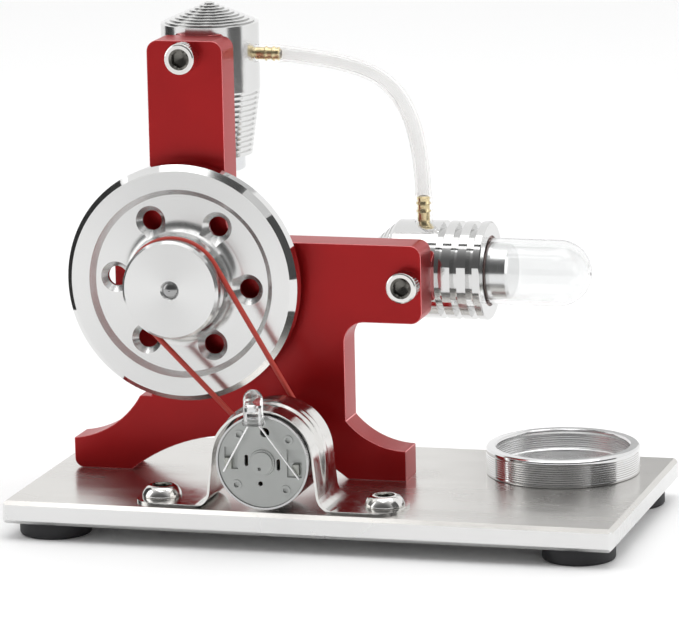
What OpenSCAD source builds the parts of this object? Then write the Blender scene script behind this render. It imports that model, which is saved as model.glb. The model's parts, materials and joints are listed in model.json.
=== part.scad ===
// Desktop hot-air engine: two cylinders at a right angle share one crankpin, and the
// flywheel's hub pulley drives a small generator that lights a lamp.
// X runs to the right along the base, Y runs to the back and Z runs up.
// The origin is on the table, under the middle of the whole engine.

/* [Base] */
// Length of the base plate, left to right
base_length = 160; // [150:1:180]
// Depth of the base plate, front to back
base_depth = 80; // [80:1:90]
// Thickness of the base plate
base_thickness = 6; // [6:0.5:10]
// Chamfer round the edges of the base plate
base_chamfer = 1; // [0.4:0.1:1.4]
// Height of the rubber feet
foot_height = 4.2; // [3.6:0.2:8]
// Diameter of the rubber feet
foot_diameter = 18.6; // [14:0.2:20]
// Distance of a foot's centre from the edges of the plate
foot_inset = 10.9; // [10.9:0.1:13]

/* [Frame] */
// Height of the crankshaft above the base plate
shaft_height = 51.8; // [51:0.2:56]
// Distance of the crankshaft to the left of the middle of the base
shaft_offset = 40.4; // [38:0.2:42]
// Thickness of the upright frame plate
plate_thickness = 10; // [9:0.5:11]
// Width of the two arms that carry the cylinders
arm_width = 20.4; // [18:0.2:22]
// Length of both arms, from the shaft's axis to the end
arm_length = 62; // [61.6:0.2:64]
// Rounding of the corners of the arms
arm_corner = 3; // [1:0.5:5]

/* [Crank] */
// Diameter of the crankshaft
shaft_diameter = 4; // [3.6:0.1:4.2]
// Throw of the crankpin
crank_throw = 5; // [4:0.1:5]
// Centre-to-centre length of the power connecting rod
power_rod_length = 16; // [16:0.1:16.4]
// Centre-to-centre length of the displacer connecting rod
displacer_rod_length = 20; // [20:0.1:20.4]

/* [Flywheel] */
// Outer diameter of the flywheel
flywheel_diameter = 62; // [60:0.5:64]
// Diameter of the recessed web of the flywheel
web_diameter = 46.5; // [44:0.5:48]
// Diameter of the hub pulley
hub_diameter = 25.8; // [25.6:0.1:26]
// Number of countersunk holes in the web
web_holes = 6; // [3:1:6]

/* [Cylinders] */
// Outer diameter of the power cylinder and the displacer cylinder
cylinder_diameter = 25.6; // [25.4:0.1:26]
// Bore of the power cylinder's liner
power_bore = 14; // [13:0.1:14.4]
// Radial clearance of the power piston in its liner
piston_clearance = 0.02; // [0.01:0.01:0.05]
// Outer diameter of the glass hot tube
glass_diameter = 17.2; // [16.8:0.1:17.6]
// Wall of the glass hot tube
glass_wall = 1; // [0.8:0.1:1.1]
// Distance of the hot tube's tip from the shaft's axis
glass_reach = 101.5; // [98:0.5:106]

/* [Generator] */
// Diameter of the generator's can
generator_diameter = 24.4; // [24:0.1:24.6]
// Height of the generator's shaft above the base plate
generator_height = 12.8; // [12.6:0.1:14]
// Distance of the generator's shaft to the left of the middle of the base
generator_offset = 10.3; // [8:0.1:12]
// Thickness of the clamping strap's sheet
strap_thickness = 0.6; // [0.5:0.1:0.8]
// Width of the clamping strap
strap_width = 18; // [16:0.5:18]
// Diameter of the round drive belt
belt_diameter = 1.4; // [1.2:0.1:1.6]

/* [Burner seat] */
// Outer diameter of the burner seat
seat_diameter = 40; // [38:0.5:40]
// Bore of the burner seat
seat_bore = 34.4; // [32:0.1:36]
// Height of the burner seat
seat_height = 7.2; // [6.6:0.2:9]

/* [Hidden] */
$fn = 96;

// Gaps: between a screw or spigot and its hole, and between a shaft and its bearing
fit_gap = 0.05;
running_gap = 0.03;
// Overcut that carries a hole past the face it opens in
over = 0.5;

// The lamp stands a little in front of the base, so the base sits back from the origin
led_radius = 2.5;
led_flange_radius = 2.9;
generator_front_gap = 1.4;
led_gap = 0.1;
led_overhang = 2 * led_flange_radius + led_gap - generator_front_gap;
base_y = led_overhang / 2;
base_front = base_y - base_depth / 2;
base_top = foot_height + base_thickness;

// Frame plate and shaft axis
shaft_x = -shaft_offset;
shaft_z = base_top + shaft_height;
plate_front = base_y;
plate_back = plate_front + plate_thickness;
cylinder_radius = cylinder_diameter / 2;
seat_flat = 0.3;
cylinder_y = plate_back + cylinder_radius - seat_flat;

// Legs of the frame, measured from the shaft's axis
left_foot_x = -33.2;
right_foot_x = 57.1;
leg_right_x = 41.2;
foot_run_height = 20;
left_sweep_radius = 24.1;
left_sweep_at = [-35.6, 31.9];
right_sweep_radius = 21.5;
right_sweep_at = [57.4, 29.5];
arch_radius = 47.4;
arch_rise = 10.3;
arch_x = 12;
arm_fillet = 5.5;
block_half = 20.5;
block_corner = 6;
left_foot_corner = 2.4;

// Screws
m5_head_radius = 4.1;
m5_head_height = 4.7;
cylinder_screw_at = 57.8;
cylinder_screw_depth = 3.3;
m6_head_radius = 5.1;
m6_head_height = 2.8;

// Flywheel: distances are measured forwards from the back of its rim
rim_back_gap = 2.9;
rim_width = 5.6;
rim_land = 4.8;
web_recess = 1.3;
hub_front = 14.7;
belt_plane = 10.5;
hub_belt_radius = 12.7;
web_hole_circle = 17.9;
web_hole_radius = 2.6;
web_hole_sink = 1.4;
web_hole_phase = -3.6;
flywheel_y = plate_front - rim_back_gap;

// Crank: the planes that the rods run in, measured back from the plate's back face
disc_plane = 1.8;
disc_thickness = 6;
disc_radius = 8.6;
rod_gap = 0.2;
rod_thickness = 2;
rod_eye_radius = 2.8;
pin_radius = 1.5;
power_plane = plate_back + disc_plane + disc_thickness + 2 * rod_gap;
displacer_plane = power_plane + rod_thickness + rod_gap;
tongue_plane = displacer_plane + rod_thickness + rod_gap;
pin_head_plane = tongue_plane;

// At rest the crankpin is straight up: the power piston is at the top of its stroke
power_wrist_z = crank_throw + power_rod_length;
displacer_wrist_x = sqrt(pow(displacer_rod_length, 2) - pow(crank_throw, 2));

// Power cylinder, measured up from the shaft's axis
taper_bottom = 29.1;
taper_top = 46.4;
taper_bottom_radius = 10.4;
cone_bottom = 63.8;
cone_top = 69.2;
liner_bottom = 25;
liner_top = 53;
liner_wall = 1.5;
liner_radius = power_bore / 2 + liner_wall;
chamber_top = 58.5;
piston_bottom = 34.5;
piston_top = 51.5;
upper_nipple_at = 55.8;

// Displacer cylinder, measured right from the shaft's axis
shell_left = 45;
shell_taper_end = 50.6;
shell_taper_radius = 8.2;
shell_right = 74.8;
fin_pitch = 4.15;
fin_groove = 1.8;
fin_depth = 2.2;
first_groove = 62.7;
cold_bore_left = 48;
tube_seat = 61;
tube_seat_radius = 9.2;
tube_seal_length = 12.4;
glass_radius = glass_diameter / 2;
cold_bore_radius = glass_radius - glass_wall;
displacer_radius = 7.2;
displacer_left = 53;
displacer_right = 80.8;
displacer_rod_radius = 1.5;
gland_left = 38;
gland_radius = 4.5;
gland_spigot_radius = 3;
tongue_right = 31.9;
lower_nipple_at = 57;

// Nipples and hose
nipple_radius = 1.6;
nipple_bore_radius = 0.9;
nipple_length = 6.5;
nipple_root = 3.6;
hose_radius = 2.1;
upper_nipple_end = [shaft_x + cylinder_radius + nipple_length, shaft_z + upper_nipple_at];
lower_nipple_end = [shaft_x + lower_nipple_at, shaft_z + cylinder_radius + nipple_length];
// The route of the hose between the two nipples: x to the right, z up
hose_route = [
    upper_nipple_end, [-18, 117.6], [-15, 117.3], [-12, 116.9], [-9, 116.5], [-6, 116],
    [-3, 115.3], [0, 114.5], [2.9, 113.4], [5.6, 112], [7.9, 110.2], [9.8, 108.2],
    [11.4, 105.9], [12.8, 103.3], [13.9, 100.5], [14.8, 97.3], [15.5, 93.9], [16, 90.2],
    [16.4, 86.2], lower_nipple_end,
];

// Generator, strap and lamp
generator_x = -generator_offset;
generator_z = base_top + generator_height;
generator_radius = generator_diameter / 2;
generator_front = base_front + generator_front_gap;
generator_length = 18;
generator_back = generator_front + generator_length;
generator_belt_radius = 6.5;
can_wall = 0.6;
strap_front = generator_front + 1.6;
strap_x = generator_x - 0.6;
strap_drop = 0.5;
strap_lean = 6;
strap_reach = 35.2;
strap_bend = 4;
strap_corner = 6.5;
strap_screw_x = 29.6;
strap_gap = 0.9;
strap_inner = generator_radius + strap_gap;
strap_outer = strap_inner + strap_thickness;
strap_bend_at = strap_outer + strap_bend;
strap_run = (strap_bend_at * sin(strap_lean) + generator_height - strap_drop
    - strap_bend - strap_thickness) / cos(strap_lean);
strap_tab_x = strap_bend_at * cos(strap_lean) + strap_run * sin(strap_lean);
led_x = generator_x - 1;
led_y = generator_front - led_gap - led_flange_radius;
led_bottom = generator_z + 10.6;
led_height = 8.9;
led_flange_height = 1;
leg_radius = 0.25;
leg_pitch = 2.54;
terminal_depth = 0.4;

// Burner seat
seat_x = 53.7;
seat_y = base_y + base_depth / 2 - seat_diameter / 2 - 0.4;
seat_floor = 1.8;

belt_y = flywheel_y - belt_plane;

// ---------------------------------------------------------------- helpers

// Draws its children in front view: local x is X, local y is Z, local z comes forwards
module front_view(x, y, z) translate([x, y, z]) rotate([90, 0, 0]) children();

// Turns its children about an axis along X, with local z pointing right
module along_x(x, y, z) translate([x, y, z]) rotate([0, 90, 0]) children();

// A straight round bar between two points
module bar(a, b, r) {
    d = b - a;
    flat = norm([d[0], d[1]]);
    translate(a) rotate([0, atan2(flat, d[2]), atan2(d[1], d[0])]) cylinder(h = norm(d), r = r);
}

// A bar's outline from y = 0 up to the given length, with the far corners rounded
module rounded_bar(width, length, corner) {
    translate([-width / 2, 0]) square([width, length - corner]);
    translate([-width / 2 + corner, 0]) square([width - 2 * corner, length]);
    for (side = [-1, 1])
        translate([side * (width / 2 - corner), length - corner]) circle(r = corner);
}

// A socket-head cap screw, head up from z = 0 and shank down
module cap_screw(head_radius, head_height, shank_radius, shank_length, key) {
    edge = 0.4;
    difference() {
        union() {
            rotate_extrude() polygon([
                [0, 0], [head_radius, 0], [head_radius, head_height - edge],
                [head_radius - edge, head_height], [0, head_height],
            ]);
            translate([0, 0, -shank_length]) cylinder(h = shank_length + 0.1, r = shank_radius);
        }
        translate([0, 0, head_height * 0.45]) cylinder(h = head_height, r = key / sqrt(3), $fn = 6);
        translate([0, 0, head_height - 0.5])
            cylinder(h = 0.6, r1 = key / sqrt(3) - 0.05, r2 = key / sqrt(3) + 0.55);
    }
}

// A grub screw with a hexagon socket, lying along z from 0 to its length
module grub_screw(radius, length, key) {
    difference() {
        cylinder(h = length, r = radius);
        translate([0, 0, length - 1.2]) cylinder(h = 1.3, r = key / sqrt(3), $fn = 6);
    }
}

// The outline of a connecting rod from its big eye at the origin to its small eye
module rod_outline(length) {
    waist = 1.5;
    difference() {
        union() {
            circle(r = rod_eye_radius);
            translate([length, 0]) circle(r = rod_eye_radius);
            translate([0, -waist]) square([length, 2 * waist]);
        }
        circle(r = pin_radius + fit_gap);
        translate([length, 0]) circle(r = pin_radius + fit_gap);
    }
}

// ---------------------------------------------------------------- base

foot_places = [
    for (sx = [-1, 1], sy = [-1, 1])
        [sx * (base_length / 2 - foot_inset), base_y + sy * (base_depth / 2 - foot_inset)],
];
frame_screw_x = [shaft_x - 25.3, shaft_x + 49.3];
strap_screw_y = strap_front + strap_width / 2;

module base_plate() {
    bar_side = base_chamfer * sqrt(2);
    color([0.78, 0.77, 0.75]) difference() {
        translate([-base_length / 2, base_front, foot_height])
            cube([base_length, base_depth, base_thickness]);
        for (sy = [-1, 1], z = [foot_height, base_top])
            translate([0, base_y + sy * base_depth / 2, z]) rotate([45, 0, 0])
                cube([base_length + 2, bar_side, bar_side], center = true);
        for (sx = [-1, 1], z = [foot_height, base_top])
            translate([sx * base_length / 2, base_y, z]) rotate([0, 45, 0])
                cube([bar_side, base_depth + 2, bar_side], center = true);
        for (sx = [-1, 1], sy = [-1, 1])
            translate([sx * base_length / 2, base_y + sy * base_depth / 2, foot_height])
                rotate([0, 0, 45])
                    cube([bar_side, bar_side, 3 * base_thickness], center = true);
        for (p = foot_places)
            translate([p[0], p[1], foot_height - over]) cylinder(h = 4.5 + over, r = 1.5);
        for (x = frame_screw_x) translate([x, plate_front + plate_thickness / 2, foot_height - over]) {
            cylinder(h = base_thickness + 2 * over, r = 2.2);
            cylinder(h = 3.2 + over, r = 3.9);
        }
        for (side = [-1, 1])
            translate([strap_x + side * strap_screw_x, strap_screw_y, foot_height - over])
                cylinder(h = base_thickness + 2 * over, r = 3);
        translate([seat_x, seat_y, foot_height - over]) {
            cylinder(h = base_thickness + 2 * over, r = 2.2);
            cylinder(h = 3.2 + over, r = 3.9);
        }
    }
}

module rubber_feet() {
    edge = 0.8;
    radius = foot_diameter / 2;
    color([0.1, 0.1, 0.11]) for (p = foot_places) translate([p[0], p[1], 0]) rotate_extrude()
        difference() {
            union() {
                translate([1.6, edge]) square([radius - 1.6, foot_height - edge]);
                translate([1.6, 0]) square([radius - edge - 1.6, foot_height]);
                translate([radius - edge, edge]) circle(r = edge);
            }
            translate([0, -over]) square([4, 2.4 + over]);
        }
}

module foot_screws() {
    color([0.75, 0.75, 0.76]) for (p = foot_places) translate([p[0], p[1], 2.4]) rotate([180, 0, 0])
        cap_screw(2.8, 1.7, 1.45, 5.8, 2);
}

// ---------------------------------------------------------------- frame

// The frame's outline, drawn from the shaft's axis
module frame_outline() {
    foot_y = -shaft_height;
    left_leg_x = left_sweep_at[0] + left_sweep_radius;
    half = arm_width / 2;
    difference() {
        union() {
            rounded_bar(arm_width, arm_length, arm_corner);
            rotate(-90) rounded_bar(arm_width, arm_length, arm_corner);
            square([2 * block_half, 2 * (block_half - block_corner)], center = true);
            square([2 * (block_half - block_corner), 2 * block_half], center = true);
            for (sx = [-1, 1], sy = [-1, 1])
                translate([sx, sy] * (block_half - block_corner)) circle(r = block_corner);
            polygon([
                [left_leg_x, foot_y], [leg_right_x, foot_y], [leg_right_x, -half],
                [leg_right_x, 0], [-half, 0], [left_leg_x, -block_half],
            ]);
            translate([left_foot_x, foot_y])
                square([left_leg_x - left_foot_x + 1, foot_run_height]);
            translate([leg_right_x - 1, foot_y])
                square([right_foot_x - leg_right_x + 1, foot_run_height]);
            translate([leg_right_x - 1, -half - arm_fillet]) square([arm_fillet + 1, arm_fillet + 1]);
            translate([half - 1, half - 1]) square(arm_fillet + 1);
        }
        intersection() {
            translate([left_sweep_at[0], foot_y + left_sweep_at[1]]) circle(r = left_sweep_radius);
            translate([left_foot_x - 1, foot_y]) square([2 * left_sweep_radius, shaft_height - block_half]);
        }
        intersection() {
            translate([right_sweep_at[0], foot_y + right_sweep_at[1]]) circle(r = right_sweep_radius);
            translate([leg_right_x, foot_y]) square([2 * right_sweep_radius, foot_run_height + 1]);
        }
        translate([arch_x, foot_y + arch_rise - arch_radius]) circle(r = arch_radius);
        translate([leg_right_x + arm_fillet, -half - arm_fillet]) circle(r = arm_fillet);
        translate([half + arm_fillet, half + arm_fillet]) circle(r = arm_fillet);
        difference() {
            translate([left_foot_x - over, foot_y - over]) square(left_foot_corner + over);
            translate([left_foot_x + left_foot_corner, foot_y + left_foot_corner])
                circle(r = left_foot_corner);
        }
    }
}

module frame() {
    color([0.62, 0.09, 0.1]) difference() {
        front_view(shaft_x, plate_back, shaft_z) linear_extrude(plate_thickness) frame_outline();
        front_view(shaft_x, plate_back + over, shaft_z) {
            cylinder(h = plate_thickness + 2 * over, r = 3.2);
            cylinder(h = 4.2 + over, r = 4.5);
            translate([0, 0, plate_thickness - 4.2 + over]) cylinder(h = 4.2 + over, r = 4.5);
            for (place = [[0, cylinder_screw_at], [cylinder_screw_at, 0]])
                translate([place[0], place[1], 0]) cylinder(h = plate_thickness + 2 * over, r = 2.7);
        }
        for (x = frame_screw_x) translate([x, plate_front + plate_thickness / 2, base_top - over])
            cylinder(h = 6.2 + over, r = 2);
    }
}

module frame_screws() {
    color([0.75, 0.75, 0.76])
        for (x = frame_screw_x)
            translate([x, plate_front + plate_thickness / 2, foot_height + 3.2]) rotate([180, 0, 0])
                cap_screw(3.5, 2.8, 1.95, base_thickness - 3.2 + 6, 3);
}

module ball_bearing(y) {
    outer = 4.45;
    inner = shaft_diameter / 2 + running_gap;
    front_view(shaft_x, y, shaft_z) rotate_extrude() difference() {
        translate([inner, 0]) square([outer - inner, 4]);
        for (z = [0, 4]) translate([3.3, z]) square([1, 0.5], center = true);
    }
}

module front_bearing() color([0.7, 0.71, 0.73]) ball_bearing(plate_front + 4.1);

module rear_bearing() color([0.7, 0.71, 0.73]) ball_bearing(plate_back - 0.1);

// ---------------------------------------------------------------- crank

module crank_shaft() {
    back = plate_back + disc_plane + disc_thickness - 0.2;
    front = flywheel_y - hub_front - 0.3;
    r = shaft_diameter / 2;
    dome = 0.7;
    dome_radius = (r * r + dome * dome) / (2 * dome);
    color([0.55, 0.55, 0.56]) front_view(shaft_x, back, shaft_z) {
        cylinder(h = back - front - dome, r = r);
        translate([0, 0, back - front - dome]) intersection() {
            translate([0, 0, -0.5]) cylinder(h = dome + 1, r = r);
            translate([0, 0, dome - dome_radius]) sphere(r = dome_radius);
        }
    }
}

// Flywheel, hub and hub pulley are turned from one piece
module flywheel() {
    rim = flywheel_diameter / 2;
    web = web_diameter / 2;
    hub = hub_diameter / 2;
    web_face = rim_width - web_recess;
    web_back = 1.8;
    chamfer = 1.5;
    cove = 3.6;
    groove_half = 1.4;
    groove_root = hub_belt_radius - belt_diameter / 2 - 0.25;
    bore = shaft_diameter / 2 + fit_gap / 2;
    color([0.86, 0.86, 0.87]) difference() {
        front_view(shaft_x, flywheel_y, shaft_z) difference() {
            rotate_extrude() difference() {
                union() {
                    polygon([
                        [bore, -2.6], [3, -2.6], [3, -1.4], [7, -1.4], [7.6, -0.8], [7.6, web_back],
                        [web + 0.6, web_back], [web + 1.5, 0], [rim - 0.6, 0], [rim, 0.6],
                        [rim, rim_width - chamfer], [rim - chamfer, rim_width],
                        [rim - chamfer - rim_land, rim_width], [web, web_face],
                        [hub + cove, web_face], [hub + cove, web_face + cove], [hub, web_face + cove],
                        [hub, belt_plane - groove_half], [groove_root, belt_plane - 0.45],
                        [groove_root, belt_plane + 0.45], [hub, belt_plane + groove_half],
                        [hub, hub_front - 0.7], [hub - 0.7, hub_front], [bore + 0.5, hub_front],
                        [bore, hub_front - 0.5],
                    ]);
                }
                translate([hub + cove, web_face + cove]) circle(r = cove);
            }
            for (i = [0 : web_holes - 1]) rotate(web_hole_phase + i * 360 / web_holes)
                translate([web_hole_circle, 0, 0]) {
                    translate([0, 0, -over]) cylinder(h = rim_width, r = web_hole_radius);
                    translate([0, 0, web_face - web_hole_sink])
                        cylinder(h = 2.4, r1 = web_hole_radius, r2 = web_hole_radius + 2.4);
                }
        }
        set_screw_place() cylinder(h = hub, r = 1.5);
    }
}

// The flywheel's set screw lies along a radius at the bottom of the belt groove
module set_screw_place() front_view(shaft_x, belt_y, shaft_z) rotate(127) rotate([0, 90, 0]) children();

module flywheel_set_screw() color([0.2, 0.2, 0.21]) set_screw_place()
    translate([0, 0, shaft_diameter / 2 + 0.05]) grub_screw(1.45, 6, 1.5);

// The crank disc's set screw lies opposite the crankpin
module disc_screw_place()
    translate([shaft_x, plate_back + disc_plane + disc_thickness / 2, shaft_z]) rotate([180, 0, 0]) children();

module crank_disc() {
    edge = 0.5;
    color([0.8, 0.8, 0.81]) difference() {
        front_view(shaft_x, plate_back + disc_plane + disc_thickness, shaft_z) difference() {
            rotate_extrude() polygon([
                [shaft_diameter / 2 + fit_gap / 2, 0], [disc_radius - edge, 0], [disc_radius, edge],
                [disc_radius, disc_thickness - edge], [disc_radius - edge, disc_thickness],
                [shaft_diameter / 2 + fit_gap / 2, disc_thickness],
            ]);
            translate([0, crank_throw, -over]) cylinder(h = 5.3 + over, r = pin_radius + fit_gap);
        }
        disc_screw_place() cylinder(h = disc_radius + 1, r = 1.5);
    }
}

module crank_disc_set_screw() color([0.2, 0.2, 0.21]) disc_screw_place()
    translate([0, 0, shaft_diameter / 2 + 0.05]) grub_screw(1.45, 5, 1.5);

// A shoulder screw: its shank is the crankpin, and its head keeps both rods on
module crank_pin() {
    color([0.7, 0.7, 0.72]) front_view(shaft_x, pin_head_plane, shaft_z + crank_throw) rotate([180, 0, 0])
        cap_screw(2.4, 1.6, pin_radius, pin_head_plane - plate_back - disc_plane - 1, 1.5);
}

// ---------------------------------------------------------------- rods and pistons

module power_conrod() {
    color([0.72, 0.72, 0.74]) front_view(shaft_x, power_plane + rod_thickness, shaft_z + crank_throw)
        linear_extrude(rod_thickness) rotate(90) rod_outline(power_rod_length);
}

module power_wrist_screw() {
    color([0.75, 0.75, 0.76]) front_view(shaft_x, power_plane, shaft_z + power_wrist_z)
        cap_screw(2, 1.2, pin_radius, rod_thickness + rod_gap / 2, 1.3);
}

module displacer_conrod() {
    color([0.72, 0.72, 0.74])
        front_view(shaft_x, displacer_plane + rod_thickness, shaft_z + crank_throw)
            linear_extrude(rod_thickness) rotate(-asin(crank_throw / displacer_rod_length))
                rod_outline(displacer_rod_length);
}

module displacer_wrist_screw() {
    color([0.75, 0.75, 0.76]) front_view(shaft_x + displacer_wrist_x, displacer_plane, shaft_z)
        cap_screw(2, 1.2, pin_radius, rod_thickness + rod_gap / 2, 1.3);
}

module power_piston() {
    r = power_bore / 2 - piston_clearance;
    ring = 0.3;
    color([0.35, 0.35, 0.37]) translate([shaft_x, cylinder_y, shaft_z]) rotate_extrude() difference() {
        translate([0, piston_bottom]) square([r, piston_top - piston_bottom]);
        for (z = [40, 43, 46]) translate([r, z]) square([2 * ring, 0.8], center = true);
        translate([0, piston_bottom - over]) square([2 + fit_gap / 2, 8 + over]);
    }
}

// The piston rod: a stud in the piston and a flat tongue for the wrist screw
module power_piston_rod() {
    tongue_front = displacer_plane;
    color([0.72, 0.72, 0.74]) {
        translate([shaft_x, cylinder_y, shaft_z + piston_bottom - 2]) cylinder(h = 9.5, r = 2);
        front_view(shaft_x, tongue_front + rod_thickness, shaft_z) linear_extrude(rod_thickness)
            difference() {
                union() {
                    translate([0, power_wrist_z]) circle(r = rod_eye_radius);
                    translate([-1.8, power_wrist_z]) square([3.6, piston_bottom - power_wrist_z]);
                }
                translate([0, power_wrist_z]) circle(r = pin_radius);
            }
    }
}

module displacer_piston() {
    edge = 0.6;
    color([0.82, 0.82, 0.83]) along_x(shaft_x, cylinder_y, shaft_z) rotate_extrude() difference() {
        polygon([
            [0, displacer_left], [displacer_radius - edge, displacer_left],
            [displacer_radius, displacer_left + edge], [displacer_radius, displacer_right - edge],
            [displacer_radius - edge, displacer_right], [0, displacer_right],
        ]);
        translate([0, displacer_left - over]) square([displacer_rod_radius + 0.02, 5 + over]);
    }
}

module displacer_rod() {
    color([0.72, 0.72, 0.74]) {
        along_x(shaft_x + tongue_right - 3, cylinder_y, shaft_z)
            cylinder(h = displacer_left + 4.8 - tongue_right + 3, r = displacer_rod_radius);
        front_view(shaft_x, tongue_plane + rod_thickness, shaft_z) linear_extrude(rod_thickness)
            difference() {
                union() {
                    translate([displacer_wrist_x, 0]) circle(r = rod_eye_radius);
                    translate([displacer_wrist_x, -1.8])
                        square([tongue_right - displacer_wrist_x, 3.6]);
                }
                translate([displacer_wrist_x, 0]) circle(r = pin_radius);
            }
    }
}

// ---------------------------------------------------------------- cylinders

module mounting_screw_hole(x, z) {
    front_view(x, plate_back + cylinder_screw_depth + 0.2, z)
        cylinder(h = cylinder_screw_depth + 1.2, r = 2.5 + fit_gap / 2);
}

module mounting_flat(x, z) {
    translate([x - 50, plate_back - 5, z - 50]) cube([100, 5, 100]);
}

module power_cylinder() {
    taper_grooves = 12;
    taper_pitch = 1.38;
    cone_steps = 9;
    cone_tip = 0.5;
    slope = (cylinder_radius - taper_bottom_radius) / (taper_top - taper_bottom);
    step_r = (cylinder_radius - cone_tip) / (cone_steps + 0.5);
    step_z = (cone_top - cone_bottom) / (cone_steps + 0.5);
    color([0.87, 0.87, 0.88]) difference() {
        translate([shaft_x, cylinder_y, shaft_z]) difference() {
            rotate_extrude() difference() {
                union() {
                    polygon(concat(
                        [[0, taper_bottom], [taper_bottom_radius, taper_bottom],
                         [cylinder_radius, taper_top], [cylinder_radius, cone_bottom]],
                        [for (i = [1 : cone_steps], k = [0, 1])
                            [cylinder_radius - i * step_r + (k == 0 ? 0 : 0.35),
                             cone_bottom + (i - (k == 0 ? 0.45 : 0)) * step_z]],
                        [[cone_tip, cone_top], [0, cone_top]]
                    ));
                }
                for (i = [0 : taper_grooves - 1]) {
                    z = taper_top - 0.8 - i * taper_pitch;
                    r = cylinder_radius - slope * (taper_top - z);
                    translate([r - 0.8, z - 0.35]) square([2, 0.7]);
                }
            }
            translate([0, 0, taper_bottom - over])
                cylinder(h = chamber_top - taper_bottom + over, r = liner_radius + fit_gap / 2);
            translate([0, 0, upper_nipple_at]) rotate([0, 90, 0])
                cylinder(h = cylinder_radius + 1, r = nipple_radius + fit_gap / 2);
        }
        mounting_flat(shaft_x, shaft_z + cylinder_screw_at);
        mounting_screw_hole(shaft_x, shaft_z + cylinder_screw_at);
    }
}

module power_liner() {
    edge = 0.4;
    color([0.8, 0.81, 0.83]) translate([shaft_x, cylinder_y, shaft_z]) rotate_extrude() polygon([
        [power_bore / 2, liner_bottom + edge], [power_bore / 2 + edge, liner_bottom],
        [liner_radius - edge, liner_bottom], [liner_radius, liner_bottom + edge],
        [liner_radius, liner_top], [power_bore / 2, liner_top],
    ]);
}

module displacer_cylinder() {
    grooves = 3;
    slope = (cylinder_radius - shell_taper_radius) / (shell_taper_end - shell_left);
    edge = 0.3;
    color([0.87, 0.87, 0.88]) difference() {
        along_x(shaft_x, cylinder_y, shaft_z) difference() {
            rotate_extrude() difference() {
                polygon([
                    [0, shell_left], [shell_taper_radius, shell_left],
                    [cylinder_radius, shell_taper_end], [cylinder_radius, shell_right - edge],
                    [cylinder_radius - edge, shell_right], [0, shell_right],
                ]);
                for (i = [0 : grooves - 1])
                    translate([cylinder_radius - fin_depth, first_groove + i * fin_pitch])
                        square([fin_depth + 1, fin_groove]);
                for (i = [0 : grooves - 1]) {
                    z = shell_left + 1.6 + i * 1.4;
                    translate([shell_taper_radius + slope * (z - shell_left) - 0.5, z - 0.3])
                        square([2, 0.6]);
                }
            }
            translate([0, 0, shell_left - over])
                cylinder(h = 10, r = gland_spigot_radius + fit_gap / 2);
            translate([0, 0, cold_bore_left]) cylinder(h = tube_seat - cold_bore_left + 1, r = cold_bore_radius);
            translate([0, 0, tube_seat]) cylinder(h = shell_right - tube_seat + over, r = tube_seat_radius);
        }
        translate([shaft_x + lower_nipple_at, cylinder_y, shaft_z])
            cylinder(h = cylinder_radius + 1, r = nipple_radius + fit_gap / 2);
        mounting_flat(shaft_x + cylinder_screw_at, shaft_z);
        mounting_screw_hole(shaft_x + cylinder_screw_at, shaft_z);
    }
}

// The bush that guides the displacer rod
module displacer_gland() {
    edge = 0.5;
    color([0.72, 0.55, 0.25]) along_x(shaft_x, cylinder_y, shaft_z) rotate_extrude() polygon([
        [displacer_rod_radius + running_gap, gland_left], [gland_radius - edge, gland_left],
        [gland_radius, gland_left + edge], [gland_radius, shell_left],
        [gland_spigot_radius, shell_left], [gland_spigot_radius, cold_bore_left],
        [displacer_rod_radius + running_gap, cold_bore_left],
    ]);
}

module cylinder_screws() {
    color([0.75, 0.75, 0.76]) for (place = [[0, cylinder_screw_at], [cylinder_screw_at, 0]])
        front_view(shaft_x + place[0], plate_front, shaft_z + place[1])
            cap_screw(m5_head_radius, m5_head_height, 2.5, plate_thickness + cylinder_screw_depth, 4);
}

module glass_tube() {
    dome_at = glass_reach - glass_radius;
    color([0.9, 0.95, 0.95, 0.35]) along_x(shaft_x, cylinder_y, shaft_z) rotate_extrude() difference() {
        union() {
            translate([0, tube_seat + 0.1]) square([glass_radius, dome_at - tube_seat - 0.1]);
            translate([0, dome_at]) intersection() {
                circle(r = glass_radius);
                square(glass_radius);
            }
        }
        union() {
            translate([0, tube_seat - 1]) square([cold_bore_radius, dome_at - tube_seat + 1]);
            translate([0, dome_at]) intersection() {
                circle(r = cold_bore_radius);
                square(glass_radius);
            }
        }
    }
}

// The silicone sleeve that seals the glass tube in its seat
module tube_seal() {
    color([0.8, 0.8, 0.78]) along_x(shaft_x, cylinder_y, shaft_z) rotate_extrude()
        translate([glass_radius, tube_seat + 1]) square([tube_seat_radius - glass_radius, tube_seal_length]);
}

// ---------------------------------------------------------------- air pipe

// A hose nipple that stands up from z = 0, with its root below and two low barbs
module nipple() {
    color([0.8, 0.62, 0.3]) rotate_extrude() polygon([
        [nipple_bore_radius, -nipple_root], [nipple_radius, -nipple_root], [nipple_radius, 2.2],
        [nipple_radius + 0.15, 2.5], [nipple_radius, 3.2], [nipple_radius, 4.2],
        [nipple_radius + 0.15, 4.5], [nipple_radius, 5.2], [nipple_radius, nipple_length - 0.4],
        [nipple_radius - 0.3, nipple_length], [nipple_bore_radius, nipple_length],
    ]);
}

module upper_nipple()
    along_x(shaft_x + cylinder_radius, cylinder_y, shaft_z + upper_nipple_at) nipple();

module lower_nipple()
    translate([shaft_x + lower_nipple_at, cylinder_y, shaft_z + cylinder_radius]) nipple();

// Unit direction of the hose's route at point i, in the plane of the cylinders
function hose_heading(i) =
    i == 0 ? [1, 0]
    : i == len(hose_route) - 1 ? [0, -1]
    : let (d = hose_route[i + 1] - hose_route[i - 1]) d / norm(d);

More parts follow.
